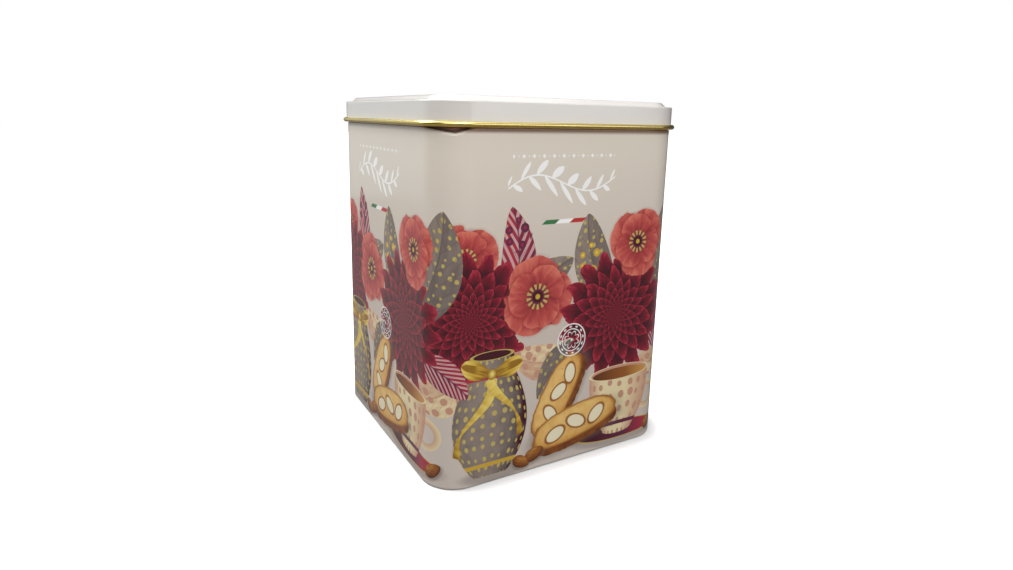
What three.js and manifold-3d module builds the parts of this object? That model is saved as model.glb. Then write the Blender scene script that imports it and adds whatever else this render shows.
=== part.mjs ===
// A shut biscuit tin: a square body with round corners, and a slip lid with a raised panel and a
// curled lower edge. Millimetres, +Z up, with the origin at the middle of the face it stands on.
import * as THREE from 'three';
import { mergeVertices } from 'three/addons/utils/BufferGeometryUtils.js';
import Module from 'manifold-3d';

// Driving dimensions of the body
const bodySide = 145;
const bodyCornerRadius = 18.25;
const bodyEdgeRadius = 1.2;
const shoulderRadius = 0.3;
const baseRimWidth = 3.4;
const baseRecessDepth = 3;
const neckInset = 0.6;
const dentHeight = 2.8;
const dentDepth = 1.9;

// Driving dimensions of the lid
const tinHeight = 190;
const lidOverBody = 0.75;
const lidEdgeRadius = 0.7;
const lidTopThickness = 1.4;
const curlCentreHeight = 177.25;
const curlReach = 1.9;
const curlRadius = 1.25;
const curlFlat = 0.2;
const panelInset = 4.6;
const panelRise = 2.3;
const panelEdgeRadius = 1.6;

// Clear space between the lid and the body, all round and above
const fitGap = 0.3;

// Fineness of the curves
const cornerCurveSteps = 6;
const edgeCurveSteps = 3;
const curlCurveSteps = 4;

// Sizes worked out from the driving dimensions
const bodyHalf = bodySide / 2;
const neckHalf = bodyHalf - neckInset;
const lidHalf = bodyHalf + lidOverBody;
const lidEdgeHeight = tinHeight - panelRise;
const lidCeiling = lidEdgeHeight - lidTopThickness;
const bodyTop = lidCeiling - fitGap;
const curlBottom = curlCentreHeight - curlRadius;
const shoulderHeight = curlBottom - fitGap;

const manifoldLibrary = await Module();
manifoldLibrary.setup();

// The outline of a square whose corners stay concentric with the body's, whatever its half width.
function roundedSquare(half) {
  const radius = bodyCornerRadius + half - bodyHalf;
  const centre = half - radius;
  const outline = new THREE.Shape();
  outline.absarc(centre, centre, radius, 0, Math.PI / 2);
  outline.absarc(-centre, centre, radius, Math.PI / 2, Math.PI);
  outline.absarc(-centre, -centre, radius, Math.PI, 1.5 * Math.PI);
  outline.absarc(centre, -centre, radius, 1.5 * Math.PI, 2 * Math.PI);
  outline.closePath();
  return outline;
}

// A plate between two heights, with its upper and lower edges rounded.
function plate(half, bottom, top, edgeRadius, steps = edgeCurveSteps) {
  const geometry = new THREE.ExtrudeGeometry(roundedSquare(half), {
    depth: top - bottom - 2 * edgeRadius,
    curveSegments: cornerCurveSteps,
    bevelEnabled: edgeRadius > 0,
    bevelThickness: edgeRadius,
    bevelSize: edgeRadius,
    bevelOffset: -edgeRadius,
    bevelSegments: steps,
  });
  return geometry.translate(0, 0, bottom + edgeRadius);
}

// Turns a closed geometry into a solid that can be joined and cut.
function solid(geometry) {
  const bare = geometry.clone();
  bare.deleteAttribute('normal');
  bare.deleteAttribute('uv');
  const merged = mergeVertices(bare);
  return new manifoldLibrary.Manifold(new manifoldLibrary.Mesh({
    numProp: 3,
    vertProperties: new Float32Array(merged.attributes.position.array),
    triVerts: new Uint32Array(merged.index.array),
  }));
}

// Turns a solid back into a named mesh with its own material.
function namedMesh(name, shape, colour, roughness, metalness) {
  const { vertProperties, triVerts } = shape.getMesh();
  const geometry = new THREE.BufferGeometry();
  geometry.setAttribute('position', new THREE.BufferAttribute(vertProperties, 3));
  geometry.setIndex(new THREE.BufferAttribute(triVerts, 1));
  geometry.computeVertexNormals();
  const material = new THREE.MeshStandardMaterial({ color: colour, roughness, metalness });
  const mesh = new THREE.Mesh(geometry, material);
  mesh.name = name;
  return mesh;
}

// What is pressed out of the corner between the two sides that the photo shows, just under the curl:
// a slope that runs in and up, and above it an upright face as far as the body's top. Its section
// lies along the corner's diagonal, so the body still mirrors onto itself.
function cornerDent() {
  const outside = 4;
  const slope = dentHeight / dentDepth;
  const start = curlBottom - dentHeight;
  const section = new THREE.Shape([
    new THREE.Vector2(bodyCornerRadius - dentDepth, curlBottom),
    new THREE.Vector2(bodyCornerRadius + outside, start - outside * slope),
    new THREE.Vector2(bodyCornerRadius + outside, bodyTop + outside),
    new THREE.Vector2(bodyCornerRadius - dentDepth, bodyTop + outside),
  ]);
  const width = 2 * bodyCornerRadius;
  const geometry = new THREE.ExtrudeGeometry(section, { depth: width, bevelEnabled: false });
  const cornerCentre = (bodyHalf - bodyCornerRadius) * Math.SQRT2;
  geometry.translate(cornerCentre, 0, -width / 2);
  geometry.rotateX(Math.PI / 2);
  geometry.rotateZ(1.25 * Math.PI);
  return solid(geometry);
}

// The body is solid, because the tin is shut: its walls, base and contents are one block, with a
// shallow recess inside the rim it stands on, a round foot, a sharper shoulder just under the curl
// and a narrower neck inside the lid.
function makeBody() {
  const footTop = baseRecessDepth * 2;
  let shape = solid(plate(bodyHalf, 0, shoulderHeight, bodyEdgeRadius));
  shape = shape.add(solid(plate(bodyHalf, footTop, shoulderHeight, shoulderRadius)));
  shape = shape.add(solid(plate(neckHalf, footTop, bodyTop, 0)));
  const recessHalf = bodyHalf - baseRimWidth;
  const recessBottom = -baseRecessDepth;
  shape = shape.subtract(solid(plate(recessHalf, recessBottom, baseRecessDepth, bodyEdgeRadius)));
  return shape.subtract(cornerDent());
}

// The lid is one pressing: curl, skirt, rounded edge, rim and raised panel, hollow underneath.
function makeLid() {
  const curlHalf = lidHalf + curlReach;
  const curlTop = curlCentreHeight + curlRadius;
  const curlRound = curlRadius - curlFlat / 2;
  const curl = solid(plate(curlHalf, curlBottom, curlTop, curlRound, curlCurveSteps));
  const skirt = solid(plate(lidHalf, curlBottom, lidEdgeHeight, lidEdgeRadius));
  const panelFoot = lidCeiling + fitGap;
  const panel = solid(plate(lidHalf - panelInset, panelFoot, tinHeight, panelEdgeRadius));
  const hollow = solid(plate(neckHalf + fitGap, curlBottom - curlRadius, lidCeiling, 0));
  return curl.add(skirt).add(panel).subtract(hollow);
}

const tin = new THREE.Group();
tin.add(namedMesh('body', makeBody(), 0xcdc3b6, 0.38, 0.1));
tin.add(namedMesh('lid', makeLid(), 0xdad6cc, 0.4, 0.1));

export default tin;
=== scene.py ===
"""The looks of a shut biscuit tin: a printed wall, a cream slip lid and a gold curl.

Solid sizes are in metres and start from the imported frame. The print is drawn in millimetres on the
unrolled wall: across is the way round the tin from the middle of the front, and up is the height.
"""

import logging
import math
from dataclasses import dataclass
from enum import Enum
from typing import Any, Callable, Sequence, Union

import bmesh
import bpy
from mathutils import Matrix, Vector, noise


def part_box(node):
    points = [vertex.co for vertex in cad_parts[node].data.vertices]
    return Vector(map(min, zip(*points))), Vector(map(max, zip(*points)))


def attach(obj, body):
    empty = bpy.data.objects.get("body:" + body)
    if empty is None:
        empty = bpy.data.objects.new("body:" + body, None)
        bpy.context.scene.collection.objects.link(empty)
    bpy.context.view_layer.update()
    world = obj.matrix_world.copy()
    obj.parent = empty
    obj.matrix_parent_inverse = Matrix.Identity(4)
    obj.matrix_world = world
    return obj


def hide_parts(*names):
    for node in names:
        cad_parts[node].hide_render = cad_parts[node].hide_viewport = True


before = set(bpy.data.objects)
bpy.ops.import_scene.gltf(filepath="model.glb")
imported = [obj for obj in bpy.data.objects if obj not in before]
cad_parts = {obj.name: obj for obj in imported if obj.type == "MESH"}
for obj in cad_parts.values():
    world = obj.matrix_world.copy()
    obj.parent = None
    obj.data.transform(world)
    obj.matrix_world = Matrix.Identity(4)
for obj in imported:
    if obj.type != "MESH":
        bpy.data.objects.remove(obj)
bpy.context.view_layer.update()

MM = 0.001
PRINT_MAP = "print"
DENT_MARK = "dent"
SHARP_ANGLE = 50
Colour = tuple[float, float, float]
Number = Union[float, "Field"]
Profile = list[tuple[float, float]]

# Points that are closer than this, in metres, are one point.
SAME = 1e-7

log = logging.getLogger("tin")


def eye_colour(*parts: int) -> Colour:
    """Turns a colour as the eye reads it, 0 to 255, into the linear one that shaders take.

    Args:
        parts: the colour's red, green and blue.
    Returns:
        The linear colour, 0 to 1, by the curve of screens.
    """
    shares = (part / 255 for part in parts)
    return tuple(s / 12.92 if s <= 0.04045 else ((s + 0.055) / 1.055) ** 2.4 for s in shares)


class Ink(Enum):
    """The colours of the print, 0 to 255, as they look under white light, and the painted shade,
    painted shadow and painted reflection laid on the wall.
    """

    PAPER = 221, 211, 198
    # The middle and low paper tones are darker than the top one: painted shade.
    PAPER_MIDDLE_SHADE = 205, 192, 180
    PAPER_LOW_SHADE = 208, 196, 186
    # A painted shadow under the curl, and a painted reflection of the gold curl just under it.
    CURL_SHADOW_BROWN = 136, 103, 80
    CURL_REFLECTION_GOLD = 214, 172, 120
    # Painted shade in the pressed corner under the curl, darkest at the dent's lower edge.
    DENT_SHADE_DARK = 112, 82, 70
    DENT_SHADE_BROWN = 196, 148, 134
    WHITE = 248, 247, 245
    NIGHT = 66, 12, 26
    WINE = 124, 18, 40
    RASPBERRY = 176, 46, 66
    PLUM = 96, 36, 66
    CORAL = 186, 74, 70
    CORAL_LIGHT = 218, 120, 100
    BRICK = 138, 40, 46
    PEACH = 226, 150, 118
    ROSE = 206, 160, 158
    CREAM = 232, 216, 172
    DOT_ROSE = 198, 148, 124
    TAUPE = 146, 132, 122
    TAUPE_DARK = 104, 92, 88
    OLIVE = 192, 172, 98
    MUSTARD = 206, 166, 58
    MUSTARD_LIGHT = 236, 212, 112
    MUSTARD_DARK = 150, 108, 30
    CRUMB = 214, 160, 80
    CRUMB_LIGHT = 236, 196, 120
    CRUST = 150, 88, 36
    CRUST_DARK = 98, 50, 20
    ALMOND = 238, 228, 196
    GREEN = 58, 118, 72
    RED = 188, 52, 48

    def __init__(self, *parts: int) -> None:
        """Works out the linear colour."""
        self.linear = eye_colour(*parts)


def math_method(operation: str, swapped: bool = False) -> Callable[..., "Field"]:
    """Makes a method of Field that adds one Math node.

    Args:
        operation: the node's operation.
        swapped: whether the field comes last, as it does in 1 - field.
    Returns:
        The method.
    """
    def method(field: "Field", *others: Number) -> "Field":
        """Gives the node's result."""
        values = (*others, field) if swapped else (field, *others)
        return field.sketch.sum(operation, *values)

    return method


class Field:
    """A value that changes over the surface, held as a node's output, with the usual sums.

    The method under gives one where the field is less than the other value, and nothing elsewhere.
    """

    def __init__(self, sketch: "Sketch", socket: bpy.types.NodeSocket) -> None:
        """Keeps the socket and the sketch that it belongs to."""
        self.sketch = sketch
        self.socket = socket

    __add__ = math_method("ADD")
    __radd__ = math_method("ADD", swapped=True)
    __sub__ = math_method("SUBTRACT")
    __rsub__ = math_method("SUBTRACT", swapped=True)
    __mul__ = math_method("MULTIPLY")
    __rmul__ = math_method("MULTIPLY", swapped=True)
    __truediv__ = math_method("DIVIDE")
    __pow__ = math_method("POWER")
    __abs__ = math_method("ABSOLUTE")
    sine = math_method("SINE")
    floor = math_method("FLOOR")
    under = math_method("LESS_THAN")
    least = math_method("MINIMUM")
    most = math_method("MAXIMUM")

    def wrapped(self, low: float, high: float) -> "Field":
        """The value brought between low and high by whole steps."""
        return self.sketch.sum("WRAP", self, high, low)

    def rise(self, low: float, high: float) -> "Field":
        """Makes a soft step of the field.

        Args:
            low: the value where the step starts from nothing, which may be the larger.
            high: the value where it reaches one.
        Returns:
            The step.
        """
        feeds = {"Value": self, "From Min": low, "From Max": high}
        made = self.sketch.node("ShaderNodeMapRange", feeds, interpolation_type="SMOOTHSTEP")
        return Field(self.sketch, made.outputs["Result"])


class Sketch:
    """Adds shader nodes to one tree, in the order in which their values are worked out."""

    def __init__(self, tree: bpy.types.NodeTree) -> None:
        """Keeps the tree that the nodes go into."""
        self.tree = tree

    def node(self, kind: str, feeds: Union[Sequence[Any], dict[str, Any]] = (),
             **settings: Any) -> bpy.types.Node:
        """Makes a node.

        Args:
            kind: its type.
            feeds: what goes into its sockets, in their order or by their names.
            settings: its properties.
        Returns:
            The node.
        """
        made = self.tree.nodes.new(kind)
        for name, value in settings.items():
            setattr(made, name, value)
        for key, value in feeds.items() if isinstance(feeds, dict) else enumerate(feeds):
            self.feed(made.inputs[key], value)
        return made

    def feed(self, socket: bpy.types.NodeSocket, value: Any) -> None:
        """Links a field to a socket, or sets the socket's own value.

        Args:
            socket: what is fed.
            value: a field, a number, an ink or a linear colour.
        """
        if isinstance(value, Field):
            self.tree.links.new(value.socket, socket)
        elif isinstance(value, Ink):
            socket.default_value = (*value.linear, 1.0)
        elif isinstance(value, tuple):
            socket.default_value = (*value, 1.0)
        else:
            socket.default_value = value

    def sum(self, operation: str, *values: Number) -> Field:
        """The result of a Math node on the values, in the order of its sockets."""
        return Field(self, self.node("ShaderNodeMath", values, operation=operation).outputs[0])

    def vector(self, x: Number, y: Number, z: Number = 0.0) -> Field:
        """Puts three values together as one place."""
        return Field(self, self.node("ShaderNodeCombineXYZ", (x, y, z)).outputs[0])

    def parts(self, place: Field) -> list[Field]:
        """The x, y and z of a place."""
        made = self.node("ShaderNodeSeparateXYZ", (place,))
        return [Field(self, part) for part in made.outputs]

    def coordinates(self, kind: str = "Object") -> Field:
        """The place on a piece, or of another kind that Texture Coordinate gives."""
        return Field(self, self.node("ShaderNodeTexCoord").outputs[kind])

    def seen(self) -> Field:
        """One where the camera itself looks, and nothing in reflections and bounced light."""
        return Field(self, self.node("ShaderNodeLightPath").outputs["Is Camera Ray"])

    def layer(self, mask: Number, below: Any, above: Any) -> Field:
        """Lays one colour over another where the mask is one.

        Args:
            mask: how much of the upper colour shows.
            below, above: fields, inks or linear colours.
        Returns:
            The colour of both.
        """
        made = self.node("ShaderNodeMix", data_type="RGBA")
        colours = [socket for socket in made.inputs if socket.type == "RGBA"]
        for socket, value in zip((made.inputs[0], *colours), (mask, below, above)):
            self.feed(socket, value)
        return Field(self, next(socket for socket in made.outputs if socket.type == "RGBA"))

    def layers(self, colour: Any, *pairs: tuple[Number, Any]) -> Any:
        """Lays several colours over one, each by its own mask.

        Args:
            colour: the lowest colour.
            pairs: the masks, each with its colour, from below.
        Returns:
            The colour of them all.
        """
        for mask, above in pairs:
            colour = self.layer(mask, colour, above)
        return colour

    def ramp(self, value: Field, stops: Sequence[tuple[float, Ink]]) -> Field:
        """Colours a value from 0 to 1 by a row of inks.

        Args:
            value: the value.
            stops: the inks, each with its own place.
        Returns:
            The colour.
        """
        made = self.node("ShaderNodeValToRGB", (value,))
        steps = made.color_ramp.elements
        for step, (place, ink) in zip(steps[:], (stops[0], stops[-1])):
            step.position, step.color = place, (*ink.linear, 1)
        for place, ink in stops[1:-1]:
            steps.new(place).color = (*ink.linear, 1)
        return Field(self, made.outputs["Color"])

    def cloud(self, place: Field, scale: float, detail: float) -> Field:
        """Makes soft noise.

        Args:
            place: where the noise is read.
            scale: how fine it is.
            detail: how many finer layers lie over it.
        Returns:
            The noise from 0 to 1, with a middle near a half.
        """
        feeds = {"Vector": place, "Scale": scale, "Detail": detail}
        made = self.node("ShaderNodeTexNoise", feeds, noise_dimensions="3D")
        return Field(self, made.outputs["Fac"])

    def dots(self, place: Field, spacing: float, loose: float) -> tuple[Field, Field]:
        """A field of spots.

        Args:
            place: the place in the field.
            spacing: how far apart the spots are.
            loose: how far they leave their rows, from 0 to 1.
        Returns:
            The distance to the nearest spot, and a random value for each spot.
        """
        feeds = {"Vector": place, "Scale": 1 / spacing, "Randomness": loose}
        made = self.node("ShaderNodeTexVoronoi", feeds, voronoi_dimensions="2D")
        split = self.node("ShaderNodeSeparateColor", (Field(self, made.outputs["Color"]),))
        return Field(self, made.outputs["Distance"]) * spacing, Field(self, split.outputs[0])


@dataclass(frozen=True)
class Spot:
    """Where a motif lies on one side's stretch of the print.

    Millimetres from the side's middle and the tin's foot, degrees anticlockwise, and the
    millimetres that one unit of the motif's own drawing takes.
    """

    across: float
    up: float
    turn: float
    unit: float


class Canvas(Sketch):
    """The unrolled wall, which one motif is drawn on in millimetres, as a node group."""

    HARDLY = 1e-7

    def __init__(self, name: str, repeat: float) -> None:
        """Makes the group with the place on the wall and the colour so far as its inputs.

        Cycles has room for 255 values at a time and works out first what waits for nothing. So
        the place takes up a trace of the colour below, and each motif waits for the last one.

        Args:
            name: the group's name.
            repeat: how far apart the same motif comes again, in millimetres.
        """
        tree = bpy.data.node_groups.new(name, "ShaderNodeTree")
        for title, kind in (("Across", "Float"), ("Up", "Float"), ("Paper", "Color")):
            tree.interface.new_socket(title, in_out="INPUT", socket_type=f"NodeSocket{kind}")
        tree.interface.new_socket("Colour", in_out="OUTPUT", socket_type="NodeSocketColor")
        super().__init__(tree)
        self.repeat = repeat
        given = self.node("NodeGroupInput").outputs[:3]
        across, up, self.paper = (Field(self, socket) for socket in given)
        self.across = self.sum("MULTIPLY_ADD", self.paper, self.HARDLY, across)
        self.up = self.sum("MULTIPLY_ADD", self.paper, self.HARDLY, up)

    def place(self, sketch: Sketch, across: Field, up: Field, motif: "Motif",
              paper: Field) -> Field:
        """Draws the motif in this group and uses it in a material.

        Args:
            sketch: the material's own nodes.
            across, up: the place on the wall.
            motif: what is drawn.
            paper: the colour so far.
        Returns:
            The colour with the motif.
        """
        self.node("NodeGroupOutput", (motif.draw(self, *self.local(motif.spot), self.paper),))
        placed = sketch.node("ShaderNodeGroup", (across, up, paper), node_tree=self.tree)
        return Field(sketch, placed.outputs[0])

    def local(self, spot: Spot) -> tuple[Field, Field]:
        """The place within a motif, in its own units.

        Args:
            spot: where the motif lies.
        Returns:
            The places along its own x and y.
        """
        along = (self.across - spot.across).wrapped(-self.repeat / 2, self.repeat / 2)
        rise = self.up - spot.up
        cosine = math.cos(math.radians(spot.turn)) / spot.unit
        sine = math.sin(math.radians(spot.turn)) / spot.unit
        x = self.sum("MULTIPLY_ADD", along, cosine, rise * sine)
        y = self.sum("MULTIPLY_ADD", rise, cosine, along * -sine)
        return x, y

    def reach(self, x: Field, y: Field) -> Field:
        """The distance from a middle."""
        return self.sum("MULTIPLY_ADD", x, x, y * y) ** 0.5

    def polar(self, x: Field, y: Field) -> tuple[Field, Field]:
        """The distance from a middle, and the angle round it in radians."""
        return self.reach(x, y), self.sum("ARCTAN2", y, x)

    def oval(self, x: Field, y: Field, half: tuple[float, float], outer: float,
             inner: float) -> Field:
        """The mask of an oval by its half sizes, with an edge that fades from outer to inner."""
        return self.reach(x / half[0], y / half[1]).rise(outer, inner)

    def polka(self, place: Field, spots: "Polka") -> Field:
        """The mask of a field of polka dots.

        Args:
            place: the place, in millimetres.
            spots: what the dots are like.
        Returns:
            One inside the dots, and nothing between them.
        """
        distance, chance = self.dots(place, spots.spacing, spots.loose)
        size = spots.radius * (spots.least + spots.spread * chance)
        return (size - distance).rise(-0.12, 0.12)


@dataclass(frozen=True)
class Polka:
    """What a field of polka dots is like, in millimetres."""

    spacing: float
    radius: float
    loose: float
    least: float
    spread: float


class Motif:
    """One thing drawn in the print."""

    spot: Spot

    def draw(self, canvas: Canvas, x: Field, y: Field, paper: Field) -> Field:
        """Draws the motif over what is there.

        Args:
            canvas: what it is drawn on.
            x, y: the place in the motif's own units.
            paper: the colour so far.
        Returns:
            The colour with the motif.
        """
        raise NotImplementedError


@dataclass(frozen=True)
class Dahlia(Motif):
    """A full flower whose rows of petals lie like scales, each smaller row over the last."""

    spot: Spot
    petals: int = 17
    row_ratio: float = 1.34
    tip: float = 0.92
    pointed: float = 1.7
    stops: tuple[tuple[float, Ink], ...] = (
        (0.0, Ink.RASPBERRY), (0.22, Ink.WINE), (0.75, Ink.NIGHT))

    def draw(self, canvas: Canvas, x: Field, y: Field, paper: Field) -> Field:
        """Draws the rows by the log of the radius, so that one sum makes them all.

        Args:
            canvas: what it is drawn on.
            x, y: the place in the motif's own units.
            paper: the colour so far.
        Returns:
            The colour with the flower.
        """
        wobble = canvas.cloud(canvas.vector(x, y, self.spot.across), 2.4, 3.0)
        radius, angle = canvas.polar(x, y)
        height = canvas.sum("LOGARITHM", radius, self.row_ratio) + (wobble - 0.5) * 0.9
        row = height.floor()
        turn = angle * (self.petals / math.tau) + row * 0.5 + (wobble - 0.5) * 0.8
        side = abs(turn.wrapped(-0.5, 0.5)) * 2
        over = height - row - self.tip * (1 - side ** self.pointed)
        inner = over.under(0.0)
        row = row + 1 - inner
        side = side * inner + (1 - side) * (1 - inner)
        depth = row + self.tip * (1 - side ** self.pointed) - height
        streak = canvas.cloud(canvas.vector(turn * 9, height * 0.9), 1.0, 2.0)
        shade = depth * 0.62 + (streak - 0.5) * 0.7 + side * 0.12
        shade = shade + over.rise(0.3, 0.0) * (1 - inner) * 0.3
        return canvas.layer(row.under(0.5), paper, canvas.ramp(shade, self.stops))


@dataclass(frozen=True)
class Poppy(Motif):
    """An open flower of two rows of broad, ruffled petals round a dark eye."""

    spot: Spot
    petals: int = 3
    stamens: int = 13

    def draw(self, canvas: Canvas, x: Field, y: Field, paper: Field) -> Field:
        """Draws the outer petals, the inner ones over them, and then the eye.

        Args:
            canvas: what it is drawn on.
            x, y: the place in the motif's own units.
            paper: the colour so far.
        Returns:
            The colour with the flower.
        """
        ruffle = canvas.cloud(canvas.vector(x, y, self.spot.up), 3.2, 3.0)
        radius, angle = canvas.polar(x, y)
        colour = paper
        for reach, shift, cast, dark in ((1.0, 0.0, 1.1, 0.2), (0.8, 0.5, 1.16, 0.45)):
            turn = angle * (self.petals / math.tau) + shift + (ruffle - 0.5) * 0.25
            side = abs(turn.wrapped(-0.5, 0.5)) * 2
            edge = reach * (0.96 - 0.24 * side ** 3) + (ruffle - 0.5) * 0.16
            inward = radius / edge
            fold = canvas.cloud(canvas.vector(turn * 7, inward * 1.2), 1.3, 3.0)
            shade = inward * 0.72 + (fold - 0.5) * 0.9 - side ** 4 * 0.3
            petal = canvas.ramp(shade, (
                (0.12, Ink.BRICK), (0.5, Ink.CORAL), (0.86, Ink.CORAL_LIGHT), (1.0, Ink.PEACH)))
            shadow = inward.rise(cast, 0.98) * dark
            colour = canvas.layers(colour, (shadow, Ink.BRICK), (inward.rise(1.01, 0.985), petal))
        spokes = (angle * self.stamens).sine() * 0.5 + 0.5
        stamens = radius.rise(0.31, 0.29) * radius.rise(0.16, 0.2) * spokes.rise(0.35, 0.7)
        return canvas.layers(
            colour, (radius.rise(0.3, 0.16) * 0.75, Ink.PLUM), (stamens, Ink.OLIVE),
            (radius.rise(0.145, 0.13), Ink.NIGHT), (radius.rise(0.075, 0.05), Ink.MUSTARD))


class Marking(Enum):
    """What a leaf carries between its veins."""

    DOTS = "dots"
    STRIPES = "stripes"


@dataclass(frozen=True)
class Leaf(Motif):
    """A long leaf from its stalk at x = 0 to its tip at x = 1, bent to one side."""

    spot: Spot
    width: float
    bend: float
    dark: Ink
    light: Ink
    mark: Ink
    marking: Marking = Marking.DOTS
    dot_spacing: float = 4.6
    dot_radius: float = 0.95

    def draw(self, canvas: Canvas, x: Field, y: Field, paper: Field) -> Field:
        """Draws the blade, its marks, its rib and veins.

        Args:
            canvas: what it is drawn on.
            x, y: the place in the motif's own units.
            paper: the colour so far.
        Returns:
            The colour with the leaf.
        """
        belly = (x * (1 - x) * 4).most(0.0)
        y = y - belly * self.bend
        half = belly ** 0.72 * (self.width / 2)
        inward = half - abs(y)
        blur = 0.12 / self.spot.unit
        mask = inward.rise(0.0, 2 * blur)
        grain = canvas.cloud(canvas.vector(x * 3, y * 9, self.spot.across), 2.0, 3.0)
        upper = y.rise(-0.01, 0.01)
        shade = grain * 0.9 - 0.2 + upper * 0.28 + x * 0.2
        blade = canvas.ramp(shade, ((0.1, self.dark), (0.8, self.light)))
        if self.marking is Marking.DOTS:
            place = canvas.vector(x * self.spot.unit, y * self.spot.unit)
            spots = Polka(self.dot_spacing, self.dot_radius, 0.55, 0.65, 0.6)
            blade = canvas.layer(canvas.polka(place, spots), blade, self.mark)
        else:
            slant = (x * 9 - abs(y) * 16).wrapped(-0.5, 0.5)
            blade = canvas.layer(abs(slant).rise(0.27, 0.2), blade, self.mark)
        vein = abs((x * 7 - abs(y) * 9).wrapped(-0.5, 0.5))
        lines = vein.rise(0.07, 0.03) * 0.45
        rib = abs(y).rise(0.6 / self.spot.unit, 0.25 / self.spot.unit)
        blade = canvas.layer(lines.most(rib * 0.8), blade, self.dark)
        blade = canvas.layer(inward.rise(7 * blur, 0.0) * 0.3, blade, self.dark)
        return canvas.layer(mask, paper, blade)


@dataclass(frozen=True)
class Slice(Motif):
    """A baked slice with a brown crust, a rough golden face and whole almonds cut through."""

    spot: Spot
    slim: float
    almonds: tuple[tuple[float, float, float], ...]
    thickness: float = 0.13
    almond_half: tuple[float, float] = (0.21, 0.125)

    def draw(self, canvas: Canvas, x: Field, y: Field, paper: Field) -> Field:
        """Draws the slice's shadow, its crust and thickness, its face and then the almonds.

        Args:
            canvas: what it is drawn on.
            x, y: the place in the motif's own units.
            paper: the colour so far.
        Returns:
            The colour with the slice.
        """
        rough = canvas.cloud(canvas.vector(x, y, self.spot.turn), 5.0, 4.0)
        ragged = (rough - 0.5) * 0.22
        flat = y.under(0.0) * 0.35 + 1
        shape, under = (
            (abs(x) ** 2.6 + abs((y + drop) * flat / self.slim) ** 2.3) ** 0.42 + ragged
            for drop in (0.0, self.thickness))
        side = canvas.ramp(rough, ((0.35, Ink.CRUST_DARK), (0.7, Ink.CRUST)))
        pores = canvas.cloud(canvas.vector(x * 1.3, y * 1.6, self.spot.up), 13.0, 2.0)
        shade = rough * 0.75 + y * 0.5 + 0.18 - shape ** 5 * 0.3
        face = canvas.ramp(shade, (
            (0.0, Ink.CRUST), (0.32, Ink.CRUMB), (0.72, Ink.CRUMB_LIGHT)))
        face = canvas.layer(pores.rise(0.66, 0.76) * 0.7, face, Ink.CRUST)
        face = canvas.layer(shape.rise(0.86, 0.98) * 0.85, face, Ink.CRUST)
        for almond_x, almond_y, turn in self.almonds:
            face = self.almond(canvas, face, x - almond_x, y - almond_y, turn)
        return canvas.layers(
            paper, (under.rise(1.4, 0.9) * 0.5, Ink.TAUPE_DARK), (under.rise(1.02, 0.99), side),
            (shape.rise(1.02, 0.99), face))

    def almond(self, canvas: Canvas, face: Field, x: Field, y: Field, turn: float) -> Field:
        """Draws one almond with its brown skin.

        Args:
            canvas: what is drawn on.
            face: the slice's colour so far.
            x, y: the place from the almond's middle.
            turn: how it lies, in degrees.
        Returns:
            The colour with the almond.
        """
        cosine, sine = math.cos(math.radians(turn)), math.sin(math.radians(turn))
        long, wide = self.almond_half
        along = canvas.sum("MULTIPLY_ADD", x, cosine / long, y * (sine / long))
        over = canvas.sum("MULTIPLY_ADD", y, cosine / wide, x * (-sine / wide))
        reach = canvas.reach(along, over + along * 0.12)
        face = canvas.layer(reach.rise(1.35, 1.1), face, Ink.CRUST)
        return canvas.layer(reach.rise(1.04, 0.9), face, Ink.ALMOND)


@dataclass(frozen=True)
class Cup(Motif):
    """A wide cup with polka dots and a ring handle, on a saucer."""

    spot: Spot
    spots: Polka = Polka(7.6, 2.0, 0.3, 0.75, 0.45)

    def draw(self, canvas: Canvas, x: Field, y: Field, paper: Field) -> Field:
        """Draws the saucer, the handle, the cup, its dots and what is in it.

        Args:
            canvas: what it is drawn on.
            x, y: the place in the motif's own units.
            paper: the colour so far.
        Returns:
            The colour with the cup.
        """
        cast = canvas.oval(x, y + 1.02, (1.5, 0.3), 1.15, 0.85)
        dish = canvas.reach(x / 1.38, (y + 0.92) / 0.25)
        plate = canvas.ramp(x * 0.4 + 0.5, ((0.1, Ink.NIGHT), (0.6, Ink.PLUM), (0.9, Ink.RASPBERRY)))
        ring = canvas.reach(x - 0.98, y * 1.1 + 0.1)
        handle = abs(ring - 0.36).rise(0.105, 0.085)
        grip = canvas.ramp(ring * 1.4, ((0.3, Ink.DOT_ROSE), (0.65, Ink.CREAM)))
        colour = canvas.layers(
            paper, (cast * 0.4, Ink.TAUPE_DARK), (dish.rise(1.015, 0.985), Ink.MUSTARD),
            (dish.rise(0.95, 0.92), plate), (handle, grip))
        drop = ((0.72 - y) / 1.62).most(0.0).least(1.0)
        half = 1.0 - 0.52 * drop ** 2.6
        side = (half - abs(x)).rise(0.0, 0.03)
        body = side * y.rise(-0.9, -0.88) * y.rise(0.73, 0.71)
        body = body.most(canvas.oval(x, y + 0.9, (0.48, 0.12), 1.02, 0.98))
        turned = x / half
        glaze = canvas.ramp(turned * 0.5 + 0.5, (
            (0.0, Ink.DOT_ROSE), (0.2, Ink.CREAM), (0.62, Ink.CREAM), (1.0, Ink.DOT_ROSE)))
        unit = self.spot.unit
        place = canvas.vector(canvas.sum("ARCSINE", turned) * unit * 1.05, y * unit)
        glaze = canvas.layer(canvas.polka(place, self.spots), glaze, Ink.DOT_ROSE)
        glaze = canvas.layer(abs(y + 0.72).rise(0.06, 0.045), glaze, Ink.PLUM)
        lip = canvas.reach(x, (y - 0.72) / 0.2)
        drink = canvas.oval(x, y - 0.69, (0.92, 0.16), 0.98, 0.94)
        brew = canvas.ramp(x * 0.5 + 0.5, ((0.1, Ink.CRUST_DARK), (0.6, Ink.CRUST), (1.0, Ink.CRUMB)))
        return canvas.layers(
            colour, (body, glaze), (lip.rise(1.02, 0.99), Ink.CREAM),
            (lip.rise(0.95, 0.92), Ink.DOT_ROSE), (drink, brew))


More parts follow.
